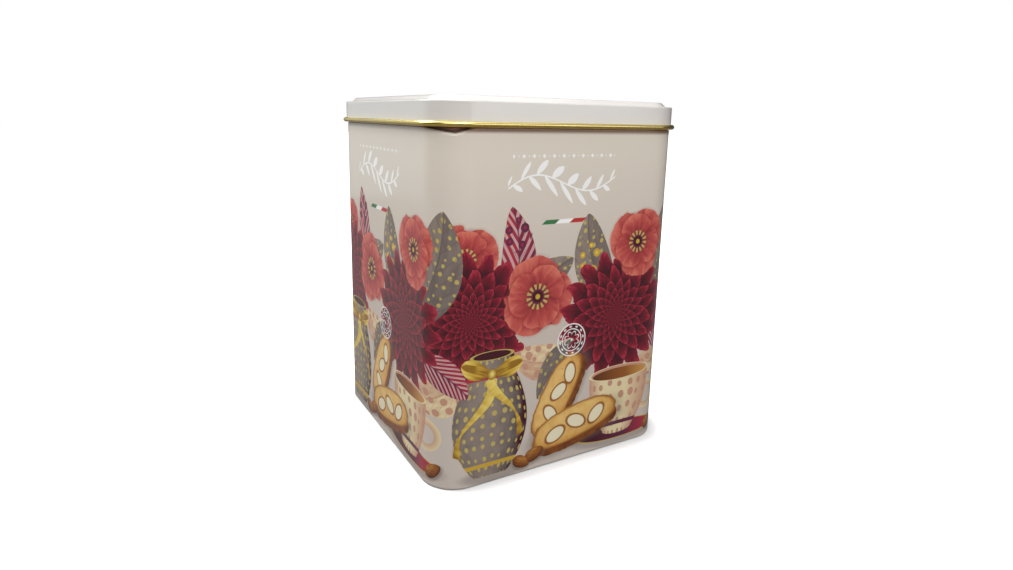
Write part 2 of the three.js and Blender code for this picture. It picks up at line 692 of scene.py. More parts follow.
@dataclass(frozen=True)
class Vase(Motif):
    """A round-bellied vase with polka dots, two units high."""

    spot: Spot
    spots: Polka = Polka(5.6, 1.25, 0.35, 0.7, 0.5)

    def draw(self, canvas: Canvas, x: Field, y: Field, paper: Field) -> Field:
        """Draws its shadow, its body with the dots and bands, and its mouth.

        Args:
            canvas: what it is drawn on.
            x, y: the place in the motif's own units.
            paper: the colour so far.
        Returns:
            The colour with the vase.
        """
        cast = canvas.oval(x - 0.1, y + 0.98, (0.66, 0.14), 1.15, 0.7)
        climb = ((y + 1) * 0.5).most(0.0).least(1.0)
        half = (climb ** 0.82 * math.pi).sine() * 0.38 + climb.rise(0.86, 1.0) * 0.1 + 0.28
        body = (half - abs(x)).rise(0.0, 0.02) * y.rise(-1.0, -0.985) * y.rise(1.0, 0.985)
        turned = x / half
        grain = canvas.cloud(canvas.vector(turned * 2, y * 2.5, self.spot.across), 2.2, 4.0)
        shade = 0.78 - abs(turned + 0.25) ** 1.6 * 0.5 + (grain - 0.5) * 0.55
        clay = canvas.ramp(shade, ((0.12, Ink.NIGHT), (0.3, Ink.TAUPE_DARK), (0.8, Ink.TAUPE)))
        unit = self.spot.unit
        place = canvas.vector(canvas.sum("ARCSINE", turned) * unit * 0.62, y * unit)
        clay = canvas.layer(canvas.polka(place, self.spots), clay, Ink.OLIVE)
        for height, width, ink in ((0.66, 0.055, Ink.RASPBERRY), (-0.8, 0.04, Ink.MUSTARD)):
            clay = canvas.layer(abs(y - height).rise(width, width - 0.015), clay, ink)
        mouth = canvas.reach(x / 0.385, (y - 0.99) / 0.075)
        return canvas.layers(
            paper, (cast * 0.45, Ink.TAUPE_DARK), (body, clay),
            (mouth.rise(1.03, 0.98), Ink.OLIVE), (mouth.rise(0.88, 0.82), Ink.NIGHT))


@dataclass(frozen=True)
class Ribbon(Motif):
    """A twisting satin ribbon that runs in waves from x = 0 to x = 1."""

    spot: Spot
    waves: float
    swing: float
    width: float
    phase: float = 0.0

    def draw(self, canvas: Canvas, x: Field, y: Field, paper: Field) -> Field:
        """Draws the band, narrow where it turns over and light where it faces the light.

        Args:
            canvas: what it is drawn on.
            x, y: the place in the motif's own units.
            paper: the colour so far.
        Returns:
            The colour with the ribbon.
        """
        turn = x * (self.waves * math.tau) + self.phase
        middle = y - turn.sine() * self.swing
        twist = (turn * 0.5 + 0.9).sine()
        half = (abs(twist) * 0.8 + 0.2) * (self.width / 2)
        ends = x.rise(0.0, 0.01) * x.rise(1.0, 0.99)
        inward = half - abs(middle)
        sheen = canvas.cloud(canvas.vector(x * 9, middle * 3, self.phase), 2.0, 1.0)
        shade = twist * 0.3 + 0.45 + (sheen - 0.5) * 0.7 + middle / self.width * 0.3
        satin = canvas.ramp(shade, (
            (0.1, Ink.MUSTARD_DARK), (0.45, Ink.MUSTARD), (0.9, Ink.MUSTARD_LIGHT)))
        mask = inward.rise(0.0, 0.25 / self.spot.unit) * ends
        shadow = (inward + 1.2 / self.spot.unit).rise(0.0, 1.4 / self.spot.unit) * ends
        return canvas.layers(paper, (shadow * 0.25, Ink.TAUPE_DARK), (mask, satin))


@dataclass(frozen=True)
class Bow(Motif):
    """A tied bow: two loops and a knot."""

    spot: Spot

    def draw(self, canvas: Canvas, x: Field, y: Field, paper: Field) -> Field:
        """Draws both loops by one mirrored drop, and then the knot.

        Args:
            canvas: what it is drawn on.
            x, y: the place in the motif's own units.
            paper: the colour so far.
        Returns:
            The colour with the bow.
        """
        out = abs(x)
        belly = (out * (1.0 - out) * 4).most(0.0)
        lift = y - out * 0.28
        half = belly ** 0.6 * 0.3 * (0.55 + out * 0.8)
        inward = half - abs(lift)
        fold = canvas.cloud(canvas.vector(out * 1.5, lift * 8, 3.0), 1.6, 1.0)
        shade = out * 0.8 - 0.1 + (fold - 0.5) * 0.9
        satin = canvas.ramp(shade, (
            (0.05, Ink.MUSTARD_DARK), (0.4, Ink.MUSTARD), (0.8, Ink.MUSTARD_LIGHT)))
        hollow = (half * 0.42 - abs(lift - 0.03)).rise(0.0, 0.02) * out.rise(0.42, 0.6)
        satin = canvas.layer(hollow, satin, Ink.MUSTARD_DARK)
        knot = canvas.reach(x / 0.15, y / 0.17)
        tied = canvas.ramp(knot, ((0.2, Ink.MUSTARD_LIGHT), (0.95, Ink.MUSTARD_DARK)))
        return canvas.layers(paper, (inward.rise(0.0, 0.015), satin), (knot.rise(1.04, 0.98), tied))


@dataclass(frozen=True)
class Sprig(Motif):
    """A white sprig with leaves in turn on both sides of a waving stem."""

    spot: Spot
    leaves: int = 15
    wave: float = 0.085
    leaf_length: float = 0.17
    leaf_width: float = 0.026

    def draw(self, canvas: Canvas, x: Field, y: Field, paper: Field) -> Field:
        """Draws the leaves by one that is repeated along the stem, and then the stem.

        Args:
            canvas: what it is drawn on.
            x, y: the place in the motif's own units.
            paper: the colour so far.
        Returns:
            The colour with the sprig.
        """
        y = y - (x * math.tau).sine() * self.wave
        grown = (x * math.pi).sine() * 0.55 + 0.45
        white = abs(y).rise(0.0075, 0.005)
        for flip, shift in ((1, 0.0), (-1, 0.5)):
            count = x * (self.leaves / 2) + shift
            along = count.wrapped(0.0, 1.0) / (self.leaves / 2)
            leaf_x = (along * 0.66 + y * (flip * 0.75)) / grown
            leaf_y = (y * (flip * 0.66) - along * 0.75) / grown
            belly = (leaf_x * (self.leaf_length - leaf_x) * (4 / self.leaf_length ** 2)).most(0.0)
            blade = belly ** 0.7 * self.leaf_width - abs(leaf_y)
            white = white.most(blade.rise(0.0, 0.005))
        ends = x.rise(0.02, 0.03) * x.rise(0.99, 0.98)
        return canvas.layer(white * ends * 0.97, paper, Ink.WHITE)


@dataclass(frozen=True)
class Beads(Motif):
    """A row of small white lozenges and dots, one unit long."""

    spot: Spot
    count: int

    def draw(self, canvas: Canvas, x: Field, y: Field, paper: Field) -> Field:
        """Draws one bead and repeats it along the row, every other one small.

        Args:
            canvas: what it is drawn on.
            x, y: the place in the motif's own units.
            paper: the colour so far.
        Returns:
            The colour with the row.
        """
        along = abs((x * self.count).wrapped(-0.5, 0.5)) / self.count
        every = abs((x * (self.count / 2)).wrapped(-0.5, 0.5)).under(0.25)
        size = every * 0.011 + 0.007
        mask = (size - along - abs(y)).rise(-0.002, 0.002)
        ends = x.rise(-0.01, 0.0) * x.rise(1.01, 1.0)
        return canvas.layer(mask * ends * 0.9, paper, Ink.WHITE)


@dataclass(frozen=True)
class WholeAlmond(Motif):
    """A whole almond in its brown skin, about two units long."""

    spot: Spot

    def draw(self, canvas: Canvas, x: Field, y: Field, paper: Field) -> Field:
        """Draws the shadow, the skin with its long grooves, and a soft highlight.

        Args:
            canvas: what it is drawn on.
            x, y: the place in the motif's own units.
            paper: the colour so far.
        Returns:
            The colour with the almond.
        """
        broad = 0.62 - x * 0.12
        reach = canvas.reach(x, y / broad)
        cast = canvas.reach(x - 0.05, (y + 0.22) / broad)
        shadow = cast.rise(1.3, 0.85) * 0.45
        groove = canvas.cloud(canvas.vector(x * 0.8, y / broad * 6, self.spot.across), 1.6, 3.0)
        shade = groove * 0.9 + y * 0.5 - reach ** 4 * 0.35
        skin = canvas.ramp(shade, (
            (0.1, Ink.CRUST_DARK), (0.45, Ink.CRUST), (0.85, Ink.CRUMB)))
        return canvas.layers(paper, (shadow, Ink.TAUPE_DARK), (reach.rise(1.02, 0.97), skin))


@dataclass(frozen=True)
class Rosette(Motif):
    """A white line ornament: a ring, a ring of beads and a small flower."""

    spot: Spot
    petals: int = 8

    def draw(self, canvas: Canvas, x: Field, y: Field, paper: Field) -> Field:
        """Draws the rings and the flower by distance and angle.

        Args:
            canvas: what it is drawn on.
            x, y: the place in the motif's own units.
            paper: the colour so far.
        Returns:
            The colour with the ornament.
        """
        radius, angle = canvas.polar(x, y)
        rings = abs(radius - 0.96).rise(0.05, 0.025).most(abs(radius - 0.66).rise(0.045, 0.02))
        beads = abs(radius - 0.81) + (1 - (angle * 12).sine()) * 0.05
        edge = 0.3 + 0.22 * abs((angle * (self.petals / 2)).sine()) ** 0.7
        flower = abs(radius - edge).rise(0.045, 0.02)
        mask = rings.most(beads.rise(0.07, 0.04)).most(flower)
        return canvas.layer(mask.most(radius.rise(0.09, 0.06)) * 0.85, paper, Ink.WHITE)


@dataclass(frozen=True)
class Bar(Motif):
    """A small slanted bar of three fields, one unit long."""

    spot: Spot
    inks: tuple[Ink, Ink, Ink] = (Ink.GREEN, Ink.WHITE, Ink.RED)
    height: float = 0.085
    slant: float = 1.2

    def draw(self, canvas: Canvas, x: Field, y: Field, paper: Field) -> Field:
        """Draws the three fields side by side.

        Args:
            canvas: what it is drawn on.
            x, y: the place in the motif's own units.
            paper: the colour so far.
        Returns:
            The colour with the bar.
        """
        x = x - y * self.slant
        band = abs(y).rise(self.height * 0.55, self.height * 0.45)
        colour = paper
        for number, ink in enumerate(self.inks):
            start = number / 3
            part = x.rise(start, start + 0.01) * x.rise(start + 0.32, start + 0.31)
            colour = canvas.layer(band * part, colour, ink)
        return colour


@dataclass(frozen=True)
class Berries(Motif):
    """A loose scatter of round berries inside a circle of one unit."""

    spot: Spot
    ink: Ink
    shine: Ink
    spacing: float
    radius: float

    def draw(self, canvas: Canvas, x: Field, y: Field, paper: Field) -> Field:
        """Draws the berries that lie inside the circle, each with a light spot.

        Args:
            canvas: what it is drawn on.
            x, y: the place in the motif's own units.
            paper: the colour so far.
        Returns:
            The colour with the berries.
        """
        unit = self.spot.unit
        distance, chance = canvas.dots(canvas.vector(x * unit, y * unit), self.spacing, 0.8)
        size = self.radius * (0.7 + 0.5 * chance)
        inside = (size - distance).rise(-0.1, 0.1) * canvas.reach(x, y).rise(1.0, 0.9)
        berry = canvas.ramp(distance / self.radius, ((0.1, self.shine), (0.5, self.ink)))
        return canvas.layer(inside, paper, berry)


TAUPE_LEAF = (Ink.TAUPE_DARK, Ink.TAUPE, Ink.OLIVE)
CREAM_LEAF = (Ink.DOT_ROSE, Ink.CREAM, Ink.DOT_ROSE)
STRIPED_LEAF = (Ink.PLUM, Ink.RASPBERRY, Ink.ROSE)

LAYOUT: tuple[Motif, ...] = (
    Leaf(Spot(-48, 78, 128, 58), 0.42, 0.10, *TAUPE_LEAF),
    Leaf(Spot(-40, 80, 84, 60), 0.34, -0.12, *STRIPED_LEAF, Marking.STRIPES),
    Leaf(Spot(-32, 76, 46, 50), 0.42, 0.12, *TAUPE_LEAF),
    Leaf(Spot(-32, 66, -6, 38), 0.52, -0.14, *CREAM_LEAF, Marking.DOTS, 6.6, 1.8),
    Leaf(Spot(-54, 66, 212, 42), 0.55, 0.14, *CREAM_LEAF, Marking.DOTS, 6.6, 1.8),
    Berries(Spot(-31, 126, 0, 9), Ink.PLUM, Ink.RASPBERRY, 6.4, 2.1),
    Poppy(Spot(-58, 116, 20, 18)),
    Dahlia(Spot(-55, 86, 10, 26)),
    Poppy(Spot(-18, 94, -12, 22)),
    Vase(Spot(-43, 36, 0, 32)),
    Ribbon(Spot(-44, 57, -112, 44), 0.9, 0.09, 0.13, 0.4),
    Ribbon(Spot(-42, 57, -66, 38), 0.8, -0.08, 0.14, 1.2),
    Bow(Spot(-43, 58, -4, 17)),
    Leaf(Spot(32, 82, 112, 56), 0.42, 0.10, *TAUPE_LEAF),
    Leaf(Spot(42, 78, 66, 66), 0.42, -0.12, *TAUPE_LEAF),
    Leaf(Spot(20, 64, 214, 44), 0.46, -0.14, *TAUPE_LEAF),
    Leaf(Spot(50, 66, -30, 36), 0.46, 0.12, *STRIPED_LEAF, Marking.STRIPES),
    Berries(Spot(13, 110, 0, 10), Ink.MUSTARD, Ink.MUSTARD_LIGHT, 6.6, 1.9),
    Dahlia(Spot(32, 78, 0, 28)),
    Poppy(Spot(45, 117, 40, 20)),
    Cup(Spot(38, 29, 0, 21)),
    Slice(Spot(-3, 38, 62, 25), 0.44, ((-0.4, 0.0, 70), (0.1, 0.05, -15), (0.55, -0.02, 30))),
    Slice(Spot(9, 20, 12, 28), 0.4, ((-0.48, -0.02, 20), (0.02, 0.05, -25), (0.5, 0.0, 40))),
    WholeAlmond(Spot(-17, 9, 20, 6)),
    WholeAlmond(Spot(-25, 6.5, -28, 5.4)),
    WholeAlmond(Spot(63, 9, 34, 5.6)),
    Sprig(Spot(-38, 147, 5, 66)),
    Beads(Spot(-34, 163, 0, 60), 21),
    Bar(Spot(-16, 131, 0, 25)),
    Rosette(Spot(4, 68, 0, 9)),
)


def new_material(name: str) -> tuple[bpy.types.Material, Sketch, bpy.types.Node]:
    """Makes a node material.

    Args:
        name: the material's name.
    Returns:
        The material, a sketch of its nodes and its Principled shader.
    """
    made = bpy.data.materials.new(name)
    made.use_nodes = True
    return made, Sketch(made.node_tree), made.node_tree.nodes["Principled BSDF"]


@dataclass(frozen=True)
class SheetSkin:
    """The faint ripple and the uneven gloss that rolled tinplate keeps under its lacquer."""

    ripple: float
    grain: float
    gloss_change: float

    NAME = "sheet_skin"
    STARTS = {"Ripple": 1.0, "Grain": 1.0, "Gloss Change": 0.1}

    @classmethod
    def group(cls) -> bpy.types.NodeTree:
        """Makes the node group once.

        Returns:
            The group, which gives a height for Bump and a change of roughness.
        """
        made = bpy.data.node_groups.get(cls.NAME)
        if made:
            return made
        made = bpy.data.node_groups.new(cls.NAME, "ShaderNodeTree")
        for name, start in cls.STARTS.items():
            made.interface.new_socket(name, in_out="INPUT", socket_type="NodeSocketFloat")
            made.interface.items_tree[name].default_value = start
        for name in ("Height", "Roughness Change"):
            made.interface.new_socket(name, in_out="OUTPUT", socket_type="NodeSocketFloat")
        sketch = Sketch(made)
        given = sketch.node("NodeGroupInput").outputs[:3]
        ripple, grain, change = (Field(sketch, socket) for socket in given)
        place = sketch.coordinates()
        waves = sketch.cloud(place, 26.0, 1.0)
        fine = sketch.cloud(place, 1400.0, 2.0)
        smears = sketch.cloud(place, 60.0, 4.0)
        sketch.node("NodeGroupOutput", (waves * ripple + fine * grain, (smears - 0.5) * change))
        return made

    def dress(self, sketch: Sketch, shader: bpy.types.Node, roughness: float) -> None:
        """Feeds a shader's Normal and Roughness.

        Args:
            sketch: the material's own nodes.
            shader: the shader that is fed.
            roughness: the surface's mean roughness.
        """
        values = (self.ripple, self.grain, self.gloss_change)
        skin = sketch.node("ShaderNodeGroup", values, node_tree=self.group())
        height, change = (Field(sketch, socket) for socket in skin.outputs)
        bump = sketch.node("ShaderNodeBump", {"Distance": MM, "Height": height})
        sketch.feed(shader.inputs["Normal"], Field(sketch, bump.outputs[0]))
        sketch.feed(shader.inputs["Roughness"], change + roughness)


class Finish:
    """A finish on the tin's sheet, which keeps its own ripple and uneven gloss.

    SLOT names the material and its slot in the record, and GLOSS sets the shader's own sockets.
    """

    SLOT: str
    GLOSS: dict[str, float]
    ROUGHNESS: float
    SKIN: SheetSkin

    def colour(self, sketch: Sketch) -> Field:
        """Works out the colour over the surface.

        Args:
            sketch: the material's own nodes.
        Returns:
            The colour.
        """
        raise NotImplementedError

    def material(self) -> bpy.types.Material:
        """Makes the material.

        Returns:
            The material, with its colour, gloss and skin.
        """
        made, sketch, shader = new_material(self.SLOT)
        sketch.feed(shader.inputs["Base Color"], self.colour(sketch))
        for name, value in self.GLOSS.items():
            shader.inputs[name].default_value = value
        self.SKIN.dress(sketch, shader, self.ROUGHNESS)
        return made


@dataclass(frozen=True)
class PrintedWall(Finish):
    """The varnished colour print on the tin's wall, with painted shade, a painted shadow and a
    painted reflection laid over it. Its sizes are in millimetres.
    """

    repeat: float
    top: float = 176.0
    curl_shadow_band: tuple[float, float] = (172.8, 174.9)
    curl_reflection_band: tuple[float, float] = (174.9, 175.9)
    band_fade: float = 12.0
    band_least: float = 0.3
    dent_rim: tuple[float, float] = (0.0, 0.2)
    dent_shade: tuple[float, float] = (0.3, 2.2)

    SLOT = "printed_wall"
    GLOSS = {"Specular IOR Level": 0.25, "Coat Weight": 0.6, "Coat Roughness": 0.1}
    ROUGHNESS = 0.34
    SKIN = SheetSkin(0.35, 0.006, 0.08)

    def colour(self, sketch: Sketch) -> Field:
        """Lays the motifs one by one on paper whose tone is painted shade, lightest at the top, and
        then the painted shadow, reflection and shade under the curl over them.

        Args:
            sketch: the material's own nodes.
        Returns:
            The print's colour.
        """
        wall = Field(sketch, sketch.node("ShaderNodeUVMap", uv_map=PRINT_MAP).outputs[0])
        across, up, _ = sketch.parts(wall)
        # The paper is lightest at the top and darkest at mid-height: painted shade.
        colour = sketch.ramp(up / self.top, (
            (0.0, Ink.PAPER_LOW_SHADE), (0.5, Ink.PAPER_MIDDLE_SHADE), (0.92, Ink.PAPER)))
        for number, motif in enumerate(LAYOUT, 1):
            canvas = Canvas(f"print_{number}_{type(motif).__name__.lower()}", self.repeat)
            colour = canvas.place(sketch, across, up, motif, colour)
        return self.edge(sketch, across, up, colour)

    def edge(self, sketch: Sketch, across: Field, up: Field, colour: Field) -> Field:
        """Paints the curl's shadow and the gold curl's reflection where the print runs up under the
        curl, most on the front, and paints shade in the dent.

        Args:
            sketch: the material's own nodes.
            across, up: the place on the wall.
            colour: the print's colour so far.
        Returns:
            The colour with the dark edge.
        """
        front = abs(across.wrapped(-2 * self.repeat, 2 * self.repeat))
        side, fade = self.repeat / 2, self.band_fade
        # Painted shadow of the curl in brown and, just under the curl, a painted reflection of the
        # gold curl, strongest on the front and weaker on the other sides.
        share = front.rise(side + fade, side - fade) * (1 - self.band_least) + self.band_least
        for band, ink in ((self.curl_shadow_band, Ink.CURL_SHADOW_BROWN), (self.curl_reflection_band, Ink.CURL_REFLECTION_GOLD)):
            colour = sketch.layer(up.rise(*band) * share, colour, ink)
        # Painted shade in the dent: darkest just above the V's edge, a lighter brown towards the
        # curl.
        mark = sketch.node("ShaderNodeAttribute", attribute_name=DENT_MARK)
        inside = Field(sketch, mark.outputs["Fac"])
        tone = sketch.layer(inside.rise(*self.dent_shade), Ink.DENT_SHADE_DARK, Ink.DENT_SHADE_BROWN)
        return sketch.layer(inside.rise(*self.dent_rim), colour, tone)


@dataclass(frozen=True)
class LidLacquer(Finish):
    """Cream lacquer on the lid, a little warmer in some places than in others."""

    cool: Colour = eye_colour(214, 211, 209)
    warm: Colour = eye_colour(219, 213, 205)

    SLOT = "lid_lacquer"
    GLOSS = {"Coat Weight": 1.0, "Coat Roughness": 0.14}
    ROUGHNESS = 0.34
    SKIN = SheetSkin(0.5, 0.01, 0.1)

    def colour(self, sketch: Sketch) -> Field:
        """Drifts between the two creams."""
        return sketch.layer(sketch.cloud(sketch.coordinates(), 14.0, 3.0), self.cool, self.warm)


@dataclass(frozen=True)
class CurlGold(Finish):
    """Gold lacquer over bright tinplate, with painted shade that makes the lower half of the rolled
    edge deeper in tone.
    """

    middle: float
    radius: float
    bright: Colour = eye_colour(240, 220, 142)
    deep: Colour = eye_colour(206, 168, 72)

    SLOT = "curl_gold"
    GLOSS = {"Metallic": 1.0}
    ROUGHNESS = 0.24
    SKIN = SheetSkin(0.3, 0.02, 0.08)

    def colour(self, sketch: Sketch) -> Field:
        """Turns from the deep gold to the bright one just below the curl's middle, as painted shade.

        Args:
            sketch: the material's own nodes.
        Returns:
            The curl's colour.
        """
        place = sketch.coordinates()
        # Painted shade: darker gold on the lower half and brighter on the upper, with a quarter of
        # random drift in tone.
        upper = sketch.parts(place)[2].rise(self.middle - self.radius * 0.7, self.middle)
        drift = sketch.cloud(place, 90.0, 4.0)
        return sketch.layer(upper * 0.75 + drift * 0.25, self.deep, self.bright)


@dataclass(frozen=True)
class BareTinplate(Finish):
    """Unprinted tinplate on the base, grey and faintly grained one way from rolling."""

    light: Colour = eye_colour(196, 196, 192)
    dark: Colour = eye_colour(160, 160, 158)
    grain: tuple[float, float] = (20.0, 900.0)

    SLOT = "bare_tinplate"
    GLOSS = {"Metallic": 1.0}
    ROUGHNESS = 0.3
    SKIN = SheetSkin(0.6, 0.03, 0.12)

    def colour(self, sketch: Sketch) -> Field:
        """Draws the grain out along x.

        Args:
            sketch: the material's own nodes.
        Returns:
            The plate's colour.
        """
        x, y, _ = sketch.parts(sketch.coordinates())
        drawn = sketch.cloud(sketch.vector(x * self.grain[0], y * self.grain[1]), 1.0, 3.0)
        return sketch.layer(drawn, self.dark, self.light)


@dataclass(frozen=True)
class Plan:
    """The tin's plan: a square with round corners, whose centres stay put at any offset."""

    half: float
    corner: float
    corner_steps: int = 28
    trace: float = 0.02 * MM

    @property
    def flat(self) -> float:
        """Half the length of a straight side."""
        return self.half - self.corner

    @property
    def quarter(self) -> float:
        """The way round a quarter of the outline, from the middle of one side to the next."""
        return 2 * self.flat + math.pi / 2 * self.corner

    def ring(self, mesh: bmesh.types.BMesh, outward: float,
             height: float) -> list[bmesh.types.BMEdge]:
        """Adds the outline at one offset and height.

        Args:
            mesh: the mesh that the outline is added to.
            outward: how far it lies outside the tin's wall.
            height: its height.
        Returns:
            The outline's edges.
        """
        before = set(mesh.edges)
        grid = bmesh.ops.create_grid(mesh, x_segments=1, y_segments=1, size=self.half + outward)
        corners = grid["verts"]
        bmesh.ops.translate(mesh, verts=corners, vec=(0, 0, height))
        bmesh.ops.bevel(
            mesh, geom=corners, offset=self.corner + outward, offset_type="OFFSET",
            segments=self.corner_steps, profile=0.5, affect="VERTICES", material=-1)
        edges = [edge for edge in mesh.edges if edge not in before]
        faces = {face for edge in edges for face in edge.link_faces}
        bmesh.ops.delete(mesh, geom=list(faces), context="FACES_ONLY")
        return edges

    def loft(self, mesh: bmesh.types.BMesh, profile: Profile, closed: bool = False) -> None:
        """Joins outlines along a profile; an open one gets a cap at each end.

        Blender joins two outlines of one height crossed over, so the later one is lifted a trace.

        Args:
            mesh: the mesh that is built.
            profile: offsets and heights in order.
            closed: whether the last outline joins the first.
        """
        rings = []
        last = math.inf
        for outward, height in profile:
            if abs(height - last) < self.trace / 10:
                height += self.trace
            rings.append(self.ring(mesh, outward, height))
            last = height
        following = rings[1:] + rings[:1] if closed else rings[1:]
        for one, other in zip(rings, following):
            bmesh.ops.bridge_loops(mesh, edges=one + other)
        if not closed:
            for end in (rings[0], rings[-1]):
                bmesh.ops.edgeloop_fill(mesh, edges=end)
        bmesh.ops.recalc_face_normals(mesh, faces=mesh.faces[:])

    def way_round(self, x: float, y: float) -> float:
        """Measures how far round the wall a point lies.

        Args:
            x, y: the point.
        Returns:
            The way anticlockwise from the middle of the -Y side.
        """
        for side in range(4):
            turn = Matrix.Rotation(-side * math.pi / 2, 2)
            along, out = turn @ Vector((x, y))
            if -out >= abs(along) - SAME:
                way = abs(along)
                if way > self.flat:
                    bend = math.atan2(way - self.flat, -out - self.flat)
                    way = self.flat + self.corner * bend
                return side * self.quarter + math.copysign(way, along)
        raise ValueError("a point lies on no side")


def arc(outward: float, height: float, radius: float, start: float, end: float,
        steps: int = 6) -> Profile:
    """Gives the points of an arc in a profile.

    Args:
        outward, height: the arc's centre.
        radius: its radius.
        start, end: its angles in degrees, where 0 points outward and 90 points up.
        steps: how many parts it has.
    Returns:
        The points, both ends included.
    """
    points = []
    for step in range(steps + 1):
        angle = math.radians(start + (end - start) * step / steps)
        points.append((outward + radius * math.cos(angle), height + radius * math.sin(angle)))
    return points


def held(value: float) -> float:
    """The value kept between 0 and 1."""
    return max(0.0, min(1.0, value))


def eased(share: float) -> float:
    """A share from 0 to 1 that starts and ends softly."""
    return share * share * (3 - 2 * share)


def add_object(name: str, data: bpy.types.ID) -> bpy.types.Object:
    """Puts a mesh, a lamp or a camera into the scene.

    Args:
        name: the object's name.
        data: what it holds.
    Returns:
        The object.
    """
    made = bpy.data.objects.new(name, data)
    bpy.context.scene.collection.objects.link(made)
    return made


def add_mesh(name: str, mesh: bmesh.types.BMesh,
             material: bpy.types.Material) -> bpy.types.Object:
    """Turns a finished bmesh into an object in one material.

    Args:
        name: the object's name.
        mesh: the shape, which is freed.
        material: its finish.
    Returns:
        The object.
    """
    data = bpy.data.meshes.new(name)
    mesh.to_mesh(data)
    mesh.free()
    data.materials.append(material)
    return add_object(name, data)


def add_piece(name: str, mesh: bmesh.types.BMesh, node: str, finish: Finish) -> bpy.types.Object:
    """Turns a finished bmesh into a piece of the tin.

    Args:
        name: the piece's name.
        mesh: the shape, in metres, in the tin's frame.
        node: the solid that the piece stands for.
        finish: what it is dressed in.
    Returns:
        The piece.
    """
    piece = add_mesh(name, mesh, finish.material())
    faces = piece.data.polygons
    faces.foreach_set("use_smooth", [True] * len(faces))
    piece.data.set_sharp_from_angle(angle=math.radians(SHARP_ANGLE))
    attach(piece, "root")
    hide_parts(node)
    log.info("%s: %d faces", name, len(faces))
    return piece


@dataclass(frozen=True)
class TinSizes:
    """The tin's sizes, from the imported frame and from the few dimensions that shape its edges."""

    body_low: Vector
    body_high: Vector
    lid_low: Vector
    lid_high: Vector
    corner: float = 18.25 * MM
    lid_over: float = 0.75 * MM
    curl_reach: float = 1.9 * MM
    curl_radius: float = 1.25 * MM
    panel_rise: float = 2.3 * MM
    panel_inset: float = 4.6 * MM
    foot_radius: float = 1.2 * MM
    shoulder_radius: float = 0.3 * MM
    lid_radius: float = 0.7 * MM
    recess: float = 3.0 * MM
    gap: float = 0.3 * MM

    @property
    def plan(self) -> Plan:
        """The plan of the body's wall."""
        return Plan(self.body_high.x, self.corner)

    @property
    def curl_height(self) -> float:
        """The height of the curl's middle."""
        return self.lid_low.z + self.curl_radius

    @property
    def lid_edge(self) -> float:
        """The height of the lid's flat rim."""
        return self.lid_high.z - self.panel_rise


